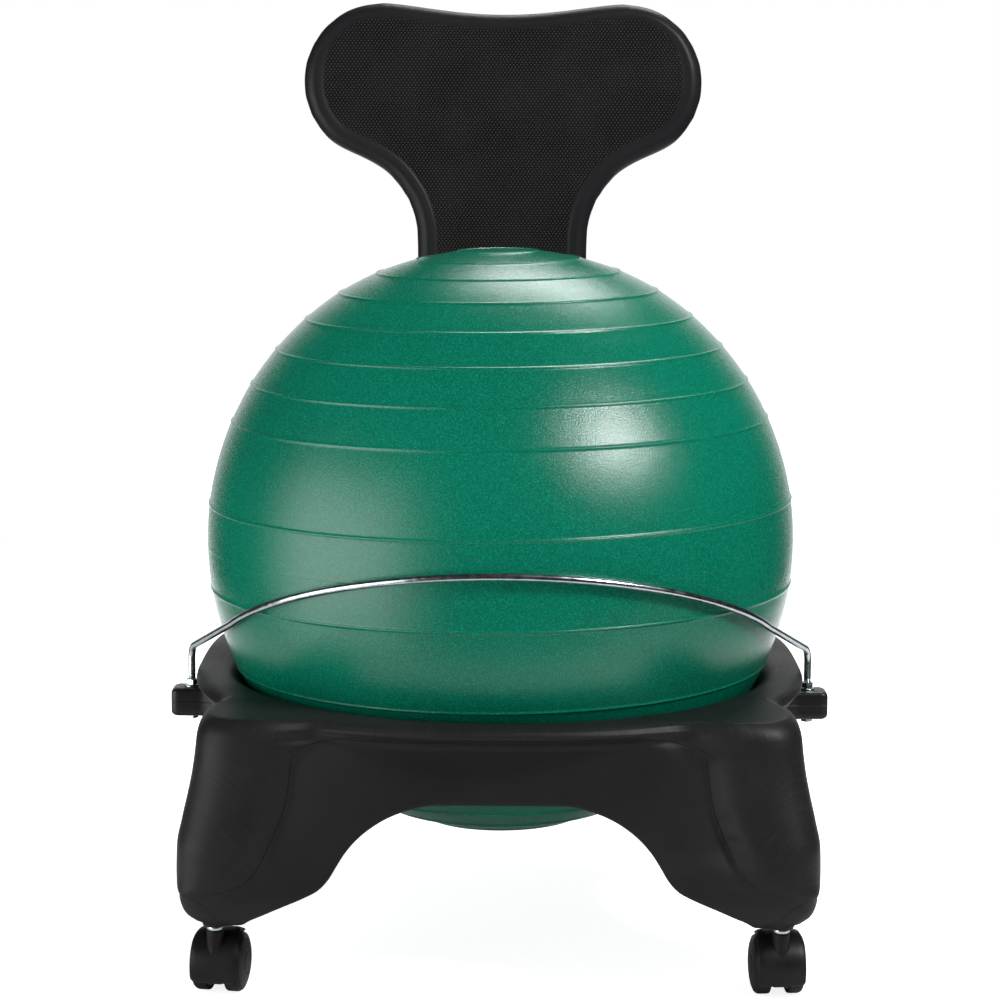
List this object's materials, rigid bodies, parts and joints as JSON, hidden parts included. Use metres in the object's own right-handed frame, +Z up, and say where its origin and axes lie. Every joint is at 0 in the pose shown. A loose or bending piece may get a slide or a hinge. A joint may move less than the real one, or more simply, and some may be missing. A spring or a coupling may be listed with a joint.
{
  "type": "balance ball chair",
  "caption": "Balance ball chair: a ribbed inflated ball in a low blow-moulded base on twin-wheel casters, with a T-shaped backrest and a steel retaining bar in front.",
  "frame": {"origin": "on the floor under the middle of the chair's bounding box", "axes": "+Z up; the sitter faces -Y and the backrest stands at +Y; +X is to the right in a view from the front"},
  "size_m": [0.586, 0.5866, 0.8243],
  "materials": {
    "green_vinyl": "satin vinyl with a fine orange-peel grain and smooth raised ridges",
    "white_plug": "smooth",
    "black_blow_moulded": "satin polyethylene with fine flow streaks",
    "black_backrest": "smooth rolled border round a finely dotted field",
    "black_nylon": "satin",
    "dark_tread": "satin",
    "zinc_plated_steel": "bright zinc plate",
    "brass": "turned"
  },
  "bodies": {
    "chair": {"base": "black_blow_moulded", "backrest": "black_backrest", "retaining_bar": "zinc_plated_steel", "bar_washer_left": "zinc_plated_steel", "bar_top_nut_left": "zinc_plated_steel", "bar_lower_nut_left": "zinc_plated_steel", "backrest_bolt_left": "zinc_plated_steel", "backrest_washer_left": "zinc_plated_steel", "backrest_insert_left": "brass", "bar_washer_right": "zinc_plated_steel", "bar_top_nut_right": "zinc_plated_steel", "bar_lower_nut_right": "zinc_plated_steel", "backrest_bolt_right": "zinc_plated_steel", "backrest_washer_right": "zinc_plated_steel", "backrest_insert_right": "brass", "front_left_socket": "black_nylon", "front_right_socket": "black_nylon", "rear_left_socket": "black_nylon", "rear_right_socket": "black_nylon"},
    "ball": {"ball": "green_vinyl", "ball_plug": "white_plug"},
    "front_left_caster": {"front_left_stem": "zinc_plated_steel", "front_left_caster_body": "black_nylon", "front_left_axle": "zinc_plated_steel"},
    "front_left_wheel_left": {"front_left_wheel_left": "dark_tread"},
    "front_left_wheel_right": {"front_left_wheel_right": "dark_tread"},
    "front_right_caster": {"front_right_stem": "zinc_plated_steel", "front_right_caster_body": "black_nylon", "front_right_axle": "zinc_plated_steel"},
    "front_right_wheel_left": {"front_right_wheel_left": "dark_tread"},
    "front_right_wheel_right": {"front_right_wheel_right": "dark_tread"},
    "rear_left_caster": {"rear_left_stem": "zinc_plated_steel", "rear_left_caster_body": "black_nylon", "rear_left_axle": "zinc_plated_steel", "rear_left_brake_pin": "zinc_plated_steel"},
    "rear_left_wheel_left": {"rear_left_wheel_left": "dark_tread"},
    "rear_left_wheel_right": {"rear_left_wheel_right": "dark_tread"},
    "rear_left_brake": {"rear_left_brake_lever": "black_nylon"},
    "rear_right_caster": {"rear_right_stem": "zinc_plated_steel", "rear_right_caster_body": "black_nylon", "rear_right_axle": "zinc_plated_steel", "rear_right_brake_pin": "zinc_plated_steel"},
    "rear_right_wheel_left": {"rear_right_wheel_left": "dark_tread"},
    "rear_right_wheel_right": {"rear_right_wheel_right": "dark_tread"},
    "rear_right_brake": {"rear_right_brake_lever": "black_nylon"}
  },
  "joints": [
    {"name": "ball_spin", "type": "hinge", "parent": "chair", "child": "ball", "pos_m": [0, -0.02329, 0.349], "axis": [-0.014, 0, 0.9999], "continuous": true},
    {"name": "front_left_swivel", "type": "hinge", "parent": "chair", "child": "front_left_caster", "pos_m": [-0.234, -0.25729, 0.03], "axis": [0, 0, 1], "continuous": true},
    {"name": "front_left_wheel_left_roll", "type": "hinge", "parent": "front_left_caster", "child": "front_left_wheel_left", "pos_m": [-0.23087, -0.23956, 0.025], "axis": [0.9848, -0.1736, 0], "continuous": true},
    {"name": "front_left_wheel_right_roll", "type": "hinge", "parent": "front_left_caster", "child": "front_left_wheel_right", "pos_m": [-0.23087, -0.23956, 0.025], "axis": [0.9848, -0.1736, 0], "continuous": true},
    {"name": "front_right_swivel", "type": "hinge", "parent": "chair", "child": "front_right_caster", "pos_m": [0.234, -0.25729, 0.03], "axis": [0, 0, 1], "continuous": true},
    {"name": "front_right_wheel_left_roll", "type": "hinge", "parent": "front_right_caster", "child": "front_right_wheel_left", "pos_m": [0.23243, -0.23936, 0.025], "axis": [0.9962, 0.0872, 0], "continuous": true},
    {"name": "front_right_wheel_right_roll", "type": "hinge", "parent": "front_right_caster", "child": "front_right_wheel_right", "pos_m": [0.23243, -0.23936, 0.025], "axis": [0.9962, 0.0872, 0], "continuous": true},
    {"name": "rear_left_swivel", "type": "hinge", "parent": "chair", "child": "rear_left_caster", "pos_m": [-0.234, 0.21071, 0.03], "axis": [0, 0, 1], "continuous": true},
    {"name": "rear_left_wheel_left_roll", "type": "hinge", "parent": "rear_left_caster", "child": "rear_left_wheel_left", "pos_m": [-0.22668, 0.22715, 0.025], "axis": [0.9135, -0.4067, 0], "continuous": true},
    {"name": "rear_left_wheel_right_roll", "type": "hinge", "parent": "rear_left_caster", "child": "rear_left_wheel_right", "pos_m": [-0.22668, 0.22715, 0.025], "axis": [0.9135, -0.4067, 0], "continuous": true},
    {"name": "rear_left_brake_hinge", "type": "hinge", "parent": "rear_left_caster", "child": "rear_left_brake", "pos_m": [-0.21948, 0.24332, 0.05332], "axis": [0.9135, -0.4067, 0], "range_deg": [-12, 0]},
    {"name": "rear_right_swivel", "type": "hinge", "parent": "chair", "child": "rear_right_caster", "pos_m": [0.234, 0.21071, 0.03], "axis": [0, 0, 1], "continuous": true},
    {"name": "rear_right_wheel_left_roll", "type": "hinge", "parent": "rear_right_caster", "child": "rear_right_wheel_left", "pos_m": [0.22473, 0.22614, 0.025], "axis": [0.8572, 0.515, 0], "continuous": true},
    {"name": "rear_right_wheel_right_roll", "type": "hinge", "parent": "rear_right_caster", "child": "rear_right_wheel_right", "pos_m": [0.22473, 0.22614, 0.025], "axis": [0.8572, 0.515, 0], "continuous": true},
    {"name": "rear_right_brake_hinge", "type": "hinge", "parent": "rear_right_caster", "child": "rear_right_brake", "pos_m": [0.21561, 0.24131, 0.05332], "axis": [0.8572, 0.515, 0], "range_deg": [-12, 0]}
  ]
}
